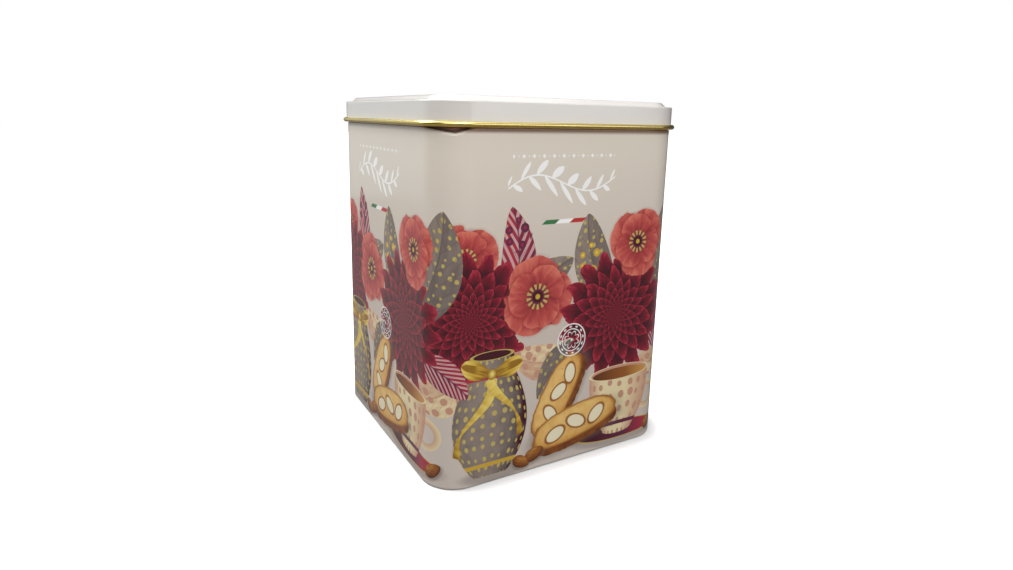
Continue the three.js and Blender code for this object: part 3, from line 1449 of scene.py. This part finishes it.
@dataclass(frozen=True)
class TinBody:
    """The printed wall with its rim, shoulder and neck, and the base inside the rim."""

    sizes: TinSizes
    rim_width: float = 3.4 * MM
    rim_inner_radius: float = 0.5 * MM
    neck_inset: float = 0.6 * MM
    dent_height: float = 2.8 * MM
    dent_depth: float = 1.9 * MM
    dent_middle: float = 62.0
    dent_step: float = 0.4 * MM
    dent_ledge: float = 0.55 * MM
    ledge_height: float = 1.1 * MM
    wall_rows: int = 16
    dent_rows: int = 24
    dent_margin: float = 2 * MM
    foot_margin: float = 0.4 * MM
    side_columns: int = 11
    waviness: float = 0.1 * MM
    wave_length: float = 45 * MM
    still_edge: float = 1.5 * MM
    wave_start: float = 15 * MM

    def profile(self) -> Profile:
        """Works out the body's section.

        Returns:
            The points from inside the rim, round it and up the wall to the body's top.
        """
        sizes = self.sizes
        edge, rim = sizes.foot_radius, self.rim_inner_radius
        round_off = sizes.shoulder_radius
        shoulder = sizes.lid_low.z - sizes.gap
        upper = sizes.lid_low.z - self.dent_height - self.dent_margin
        wall_start = edge + self.foot_margin
        points = arc(-self.rim_width - edge, sizes.recess - edge, edge, 90, 0)
        points += arc(-self.rim_width + rim, rim, rim, 180, 270, 4)
        points += arc(-edge, edge, edge, 270, 360)
        for row in range(self.wall_rows + 1):
            points.append((0.0, wall_start + (upper - wall_start) * row / self.wall_rows))
        end = shoulder - round_off
        for row in range(1, self.dent_rows):
            points.append((0.0, upper + (end - upper) * row / self.dent_rows))
        points += arc(-round_off, end, round_off, 0, 90, 4)
        points += [(-self.neck_inset, shoulder), (-self.neck_inset, sizes.body_high.z)]
        return points

    def add_side_columns(self, mesh: bmesh.types.BMesh) -> None:
        """Splits the flat sides into columns, so that the sheet can be a little uneven.

        Args:
            mesh: the body's mesh.
        """
        plan = self.sizes.plan
        long_edges = []
        for edge in mesh.edges:
            one, other = (vert.co for vert in edge.verts)
            level = abs(one.z - other.z) < SAME
            if level and (one - other).length > plan.flat:
                long_edges.append(edge)
        bmesh.ops.subdivide_edges(
            mesh, edges=long_edges, cuts=self.side_columns, use_grid_fill=True)

    def dented(self, spot: Vector) -> tuple[Vector, float]:
        """How far a point at the corner between the two sides in the photo is pressed in.

        The pressed field hangs down from the curl in a V, with a narrow ledge under its edge.

        Args:
            spot: a point of the wall.
        Returns:
            The way it is moved, and how many millimetres it lies above the V's edge.
        """
        plan = self.sizes.plan
        out = Vector((-plan.flat - spot.x, -plan.flat - spot.y))
        if out.x <= 0 or out.y <= 0:
            return Vector((0, 0, 0)), -1.0
        turn = math.degrees(math.atan2(out.y, out.x))
        near = min(turn / self.dent_middle, (90 - turn) / (90 - self.dent_middle))
        top = self.sizes.lid_low.z
        over = min(spot.z, top) - top + self.dent_height * near
        inward = self.dent_depth * near ** 0.6 * eased(held(over / self.dent_step + 0.5))
        inward += self.dent_ledge * near * held(over / self.ledge_height + 1)
        return (out.normalized() * inward).to_3d(), over / MM

    def press(self, mesh: bmesh.types.BMesh) -> None:
        """Gives the wall its slight unevenness and presses one corner in under the curl.

        Args:
            mesh: the body's mesh.
        """
        start = self.sizes.lid_low.z - self.dent_height
        mark = mesh.verts.layers.float.new(DENT_MARK)
        for vert in mesh.verts:
            spot = vert.co.copy()
            if self.sizes.foot_radius < spot.z < start:
                inner = min(spot.z, start - spot.z)
                hold = held((inner - self.still_edge) / self.wave_start)
                outward = Vector((spot.x, spot.y, 0)).normalized()
                wave = noise.noise(spot / self.wave_length)
                vert.co += outward * (self.waviness * hold * wave)
            inward, vert[mark] = self.dented(spot)
            vert.co += inward

    def map_print(self, mesh: bmesh.types.BMesh) -> None:
        """Unrolls the wall into the print's map, in millimetres.

        Args:
            mesh: the body's mesh.
        """
        plan = self.sizes.plan
        whole = 4 * plan.quarter
        layer = mesh.loops.layers.uv.new(PRINT_MAP)
        for face in mesh.faces:
            middle = face.calc_center_median()
            home = plan.way_round(middle.x, middle.y)
            for loop in face.loops:
                spot = loop.vert.co
                way = plan.way_round(spot.x, spot.y)
                way += round((home - way) / whole) * whole
                loop[layer].uv = (way / MM, spot.z / MM)

    def build(self) -> bpy.types.Object:
        """Builds the wall and dresses it in the print.

        Returns:
            The wall.
        """
        mesh = bmesh.new()
        self.sizes.plan.loft(mesh, self.profile())
        self.add_side_columns(mesh)
        self.press(mesh)
        self.map_print(mesh)
        return add_piece("tin_wall", mesh, "body", PrintedWall(self.sizes.plan.quarter / MM))


@dataclass(frozen=True)
class TinBase:
    """The bare base plate inside the rim, with a shallow stiffening step."""

    sizes: TinSizes
    thickness: float = 0.25 * MM
    inset: float = 3.7 * MM
    edge_radius: float = 1.2 * MM
    overlap: float = 0.2 * MM
    step_inset: float = 11 * MM
    step_slope: float = 1.2 * MM
    step_flat: float = 0.8 * MM
    step_depth: float = 0.8 * MM

    def build(self) -> bpy.types.Object:
        """Builds the plate from its rolled edge to the stepped middle.

        Returns:
            The plate.
        """
        recess, radius = self.sizes.recess, self.edge_radius
        low = recess - self.thickness
        edge = -self.inset - radius
        step = -self.step_inset
        slope = step - self.step_slope
        profile = [(edge, recess + self.overlap)]
        profile += arc(edge, low - radius, radius, 0, 90, 5)
        profile += [(step, low), (slope, low - self.step_depth)]
        profile += [(slope - self.step_flat, low - self.step_depth)]
        mesh = bmesh.new()
        self.sizes.plan.loft(mesh, profile)
        return add_piece("tin_base", mesh, "body", BareTinplate())


@dataclass(frozen=True)
class TinLid:
    """The slip lid: a thin pressed shell and its rolled gold curl."""

    sizes: TinSizes
    thickness: float = 0.4 * MM
    skirt_foot: float = 2 * MM
    edge_flat: float = 0.4 * MM
    panel_slope: float = 3.4 * MM
    panel_steps: int = 12
    crown: float = 0.25 * MM
    crown_step: float = 3 * MM
    crown_steps: int = 4
    curl_steps: int = 20

    def profile(self) -> Profile:
        """Works out the shell's section.

        Returns:
            The points up the skirt, over the rim and onto the panel.
        """
        sizes = self.sizes
        over, edge = sizes.lid_over, sizes.lid_radius
        rim, top = sizes.lid_edge, sizes.lid_high.z
        foot = over - sizes.panel_inset + self.panel_slope / 2
        points = [(over, sizes.curl_height), (over, sizes.curl_height + self.skirt_foot)]
        points += [(over, rim - edge - self.edge_flat)]
        points += arc(over - edge, rim - edge, edge, 0, 90, 8)
        points.append((over - edge - self.edge_flat, rim))
        for step in range(self.panel_steps + 1):
            way = step / self.panel_steps
            points.append((foot - self.panel_slope * way, rim + sizes.panel_rise * eased(way)))
        inner = foot - self.panel_slope
        for step in range(1, self.crown_steps):
            rise = self.crown * step / self.crown_steps
            points.append((inner - step * self.crown_step, top + rise))
        return points

    def build(self) -> list[bpy.types.Object]:
        """Builds the shell and the curl.

        Returns:
            Both pieces.
        """
        sizes = self.sizes
        mesh = bmesh.new()
        inner = sizes.lid_over - self.thickness
        inside = [(inner, sizes.lid_edge - self.thickness), (inner, sizes.curl_height)]
        sizes.plan.loft(mesh, inside + self.profile())
        shell = add_piece("lid_shell", mesh, "lid", LidLacquer())
        middle = sizes.lid_over + sizes.curl_reach - sizes.curl_radius
        roll = arc(middle, sizes.curl_height, sizes.curl_radius, 0, 360, self.curl_steps)
        mesh = bmesh.new()
        sizes.plan.loft(mesh, roll[:-1], closed=True)
        gold = CurlGold(sizes.curl_height, sizes.curl_radius)
        return [shell, add_piece("lid_curl", mesh, "lid", gold)]


@dataclass(frozen=True)
class Softbox:
    """A flat studio light that faces the tin.

    Its place is an azimuth anticlockwise from +X, an elevation and a distance from the tin.
    """

    name: str
    azimuth: float
    elevation: float
    distance: float
    wide: float
    high: float
    watts: float
    tint: Colour = (1.0, 1.0, 1.0)
    aim_height: float = 0.1

    def build(self) -> bpy.types.Object:
        """Adds the light.

        Returns:
            The light.
        """
        data = bpy.data.lights.new(self.name, "AREA")
        data.shape = "RECTANGLE"
        data.size, data.size_y = self.wide, self.high
        data.energy = self.watts
        data.color = self.tint
        turn, climb = math.radians(self.azimuth), math.radians(self.elevation)
        away = Vector((
            math.cos(turn) * math.cos(climb), math.sin(turn) * math.cos(climb), math.sin(climb)))
        aim = Vector((0, 0, self.aim_height))
        facing = away.to_track_quat("Z", "Y").to_matrix().to_4x4()
        light = add_object(self.name, data)
        light.matrix_world = Matrix.Translation(aim + away * self.distance) @ facing
        return light


@dataclass(frozen=True)
class PhotoCamera:
    """The photo's viewpoint: a short lens close to the tin, with the tin above its axis."""

    turn: float = -30.24
    tilt: float = 11.32
    roll: float = 1.31
    distance: float = 381.2 * MM
    aside: float = 3.04 * MM
    aim_height: float = 105.95 * MM
    lens: float = 22.51
    sensor: float = 36.0
    shift: tuple[float, float] = (0.0037, -0.0408)
    nearest: float = 0.01

    def build(self) -> bpy.types.Object:
        """Adds the camera and makes it the scene's own.

        Returns:
            The camera.
        """
        turn, tilt, roll = (math.radians(a) for a in (self.turn, self.tilt, self.roll))
        forward = Vector((
            -math.sin(turn) * math.cos(tilt), math.cos(turn) * math.cos(tilt), -math.sin(tilt)))
        right = Vector((math.cos(turn), math.sin(turn), 0))
        up = right.cross(forward)
        level_right, level_up = right, up
        right = math.cos(roll) * level_right + math.sin(roll) * level_up
        up = math.cos(roll) * level_up - math.sin(roll) * level_right
        eye = level_right * self.aside + Vector((0, 0, self.aim_height)) - forward * self.distance
        data = bpy.data.cameras.new("photo_camera")
        data.sensor_width, data.lens = self.sensor, self.lens
        data.shift_x, data.shift_y = self.shift
        data.clip_start = self.nearest
        axes = Matrix((right, up, -forward)).transposed().to_4x4()
        camera = add_object("photo_camera", data)
        camera.matrix_world = Matrix.Translation(eye) @ axes
        bpy.context.scene.camera = camera
        return camera


@dataclass(frozen=True)
class Studio:
    """A pale floor and backdrop under soft light, both dimmer to the lacquer than to the eye."""

    floor_half: float = 6.0
    floor_colour: Colour = (0.92, 0.92, 0.92)
    floor_bounce: Colour = (0.2, 0.195, 0.19)
    shadow_flat: float = 54.0 * MM
    shadow_reach: tuple[float, float] = (19.0 * MM, 36.0 * MM)
    backdrop: float = 1.0
    surroundings: float = 0.05
    ceiling: float = 0.6
    ceiling_start: tuple[float, float] = (0.25, 0.95)
    boxes: tuple[Softbox, ...] = (
        Softbox("overhead", 240, 86, 0.5, 0.55, 0.55, 0.95),
        Softbox("key", 228, 32, 0.8, 0.45, 0.45, 1.1),
        Softbox("front_fill", 258, 38, 0.9, 0.5, 0.5, 3.2),
        Softbox("left_rear", 127, 18, 1.0, 1.0, 0.9, 1.45, (0.93, 1.0, 1.0)),
        Softbox("left_rear_high", 135, 44, 1.0, 0.8, 0.6, 8.8),
        Softbox("right_low", -62, 14, 1.2, 0.7, 0.5, 2.0),
    )

    def floor_material(self) -> bpy.types.Material:
        """Makes the floor: soft shadow close to the tin, and as white as the backdrop beyond.

        Returns:
            The material.
        """
        made, sketch, shader = new_material("floor_pale")
        seen = sketch.seen()
        tone = sketch.layer(seen, self.floor_bounce, self.floor_colour)
        ways = sketch.parts(sketch.coordinates())[:2]
        past_x, past_y = ((abs(way) - self.shadow_flat).most(0.0) for way in ways)
        beyond = ((past_x * past_x + past_y * past_y) ** 0.5).rise(*self.shadow_reach)
        sketch.feed(shader.inputs["Base Color"], tone)
        sketch.feed(shader.inputs["Emission Strength"], beyond * seen * self.backdrop)
        shader.inputs["Roughness"].default_value = 0.9
        shader.inputs["Specular IOR Level"].default_value = 0.1
        return made

    def world(self) -> bpy.types.World:
        """Makes the world: white to the camera, and to the tin a dim room with a pale ceiling.

        Returns:
            The world.
        """
        world = bpy.data.worlds.new("studio")
        world.use_nodes = True
        sketch = Sketch(world.node_tree)
        seen = sketch.seen()
        upward = sketch.parts(sketch.coordinates("Generated"))[2]
        room = upward.rise(*self.ceiling_start) * self.ceiling + self.surroundings
        strength = seen * (self.backdrop - room) + room
        background = world.node_tree.nodes["Background"]
        background.inputs["Color"].default_value = (1, 1, 1, 1)
        sketch.feed(background.inputs["Strength"], strength)
        return world

    def build(self) -> None:
        """Adds the floor, the world's light and the lamps."""
        mesh = bmesh.new()
        bmesh.ops.create_grid(mesh, x_segments=1, y_segments=1, size=self.floor_half)
        add_mesh("floor", mesh, self.floor_material())
        bpy.context.scene.world = self.world()
        for softbox in self.boxes:
            softbox.build()


def main() -> None:
    """Builds the tin, its studio and the camera."""
    logging.basicConfig(level=logging.INFO, format="%(name)s: %(message)s")
    bpy.context.scene.view_settings.view_transform = "Standard"
    sizes = TinSizes(*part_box("body"), *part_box("lid"))
    for part in (PhotoCamera(), TinBody(sizes), TinBase(sizes), TinLid(sizes), Studio()):
        part.build()


if __name__ == "__main__":
    main()
